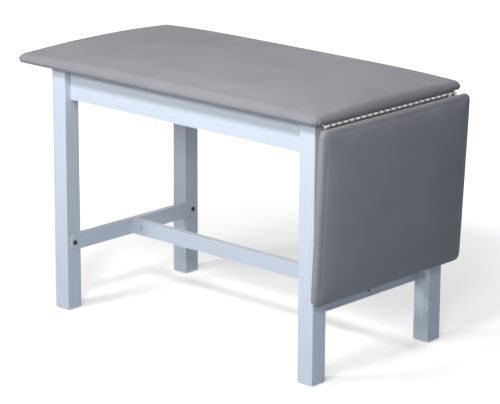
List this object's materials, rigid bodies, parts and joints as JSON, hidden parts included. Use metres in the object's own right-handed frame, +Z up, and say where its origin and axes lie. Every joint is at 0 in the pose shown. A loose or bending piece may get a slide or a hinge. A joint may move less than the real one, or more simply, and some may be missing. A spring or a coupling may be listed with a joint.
{
  "type": "treatment table",
  "caption": "Upholstered treatment table on a square-legged wooden H-brace frame, with a crowned fixed top and a drop leaf that folds down on a continuous hinge.",
  "frame": {"origin": "on the floor, under the middle of the table's box with the leaf hanging", "axes": "+X to the drop-leaf end, +Y to the back, +Z up"},
  "size_m": [1.216, 0.627, 0.788],
  "materials": {
    "vinyl": "satin upholstery vinyl over foam",
    "plywood": "bare plywood",
    "painted_wood": "pale blue-grey satin laminate",
    "black_bolts": "black oxide",
    "hinge_metal": "bright plated steel",
    "zinc": "zinc plated",
    "glide": "dark nylon",
    "rubber": "matte"
  },
  "bodies": {
    "table": {"apron_front": "painted_wood", "apron_left": "painted_wood", "apron_rear": "painted_wood", "apron_right": "painted_wood", "barrel_nuts": "zinc", "bracket_screws": "zinc", "corner_bracket_front_left": "zinc", "corner_bracket_front_right": "zinc", "corner_bracket_rear_left": "zinc", "corner_bracket_rear_right": "zinc", "cross_rail_left": "painted_wood", "cross_rail_right": "painted_wood", "foot_glides": "glide", "hanger_bolts": "zinc", "hanger_nuts": "zinc", "hinge_pin": "hinge_metal", "hinge_plate_fixed": "hinge_metal", "hinge_screws_fixed": "zinc", "leaf_bumpers": "rubber", "leg_front_left": "painted_wood", "leg_front_right": "painted_wood", "leg_rear_left": "painted_wood", "leg_rear_right": "painted_wood", "main_board": "plywood", "main_pad": "vinyl", "rail_bolts": "black_bolts", "stay_pivots": "zinc", "stay_plate_front": "zinc", "stay_plate_rear": "zinc", "stay_plate_screws": "zinc", "stretcher": "painted_wood", "stretcher_bolts": "black_bolts", "top_brackets": "zinc", "top_screws": "zinc"},
    "leaf": {"hinge_plate_leaf": "hinge_metal", "hinge_screws_leaf": "zinc", "leaf_board": "plywood", "leaf_pad": "vinyl", "stay_arm_front": "zinc", "stay_arm_rear": "zinc", "stay_arm_screws": "zinc"},
    "brace_front": {"slide_pin_front": "zinc", "stay_brace_front": "zinc"},
    "brace_rear": {"slide_pin_rear": "zinc", "stay_brace_rear": "zinc"}
  },
  "joints": [
    {"name": "leaf_hinge", "type": "hinge", "parent": "table", "child": "leaf", "pos_m": [0.56904, 0, 0.74], "axis": [0, -1, 0], "range_deg": [0, 92.7]},
    {"name": "stay_front_pivot", "type": "hinge", "parent": "table", "child": "brace_front", "pos_m": [0.51404, -0.2206, 0.61], "axis": [0, -1, 0], "range_deg": [0, 110.72]},
    {"name": "stay_rear_pivot", "type": "hinge", "parent": "table", "child": "brace_rear", "pos_m": [0.51404, 0.2206, 0.61], "axis": [0, -1, 0], "range_deg": [0, 110.72]}
  ],
  "couplings": [
    {"joint": "stay_front_pivot", "follows": "leaf_hinge", "ratio": 1.1943},
    {"joint": "stay_rear_pivot", "follows": "leaf_hinge", "ratio": 1.1943}
  ]
}
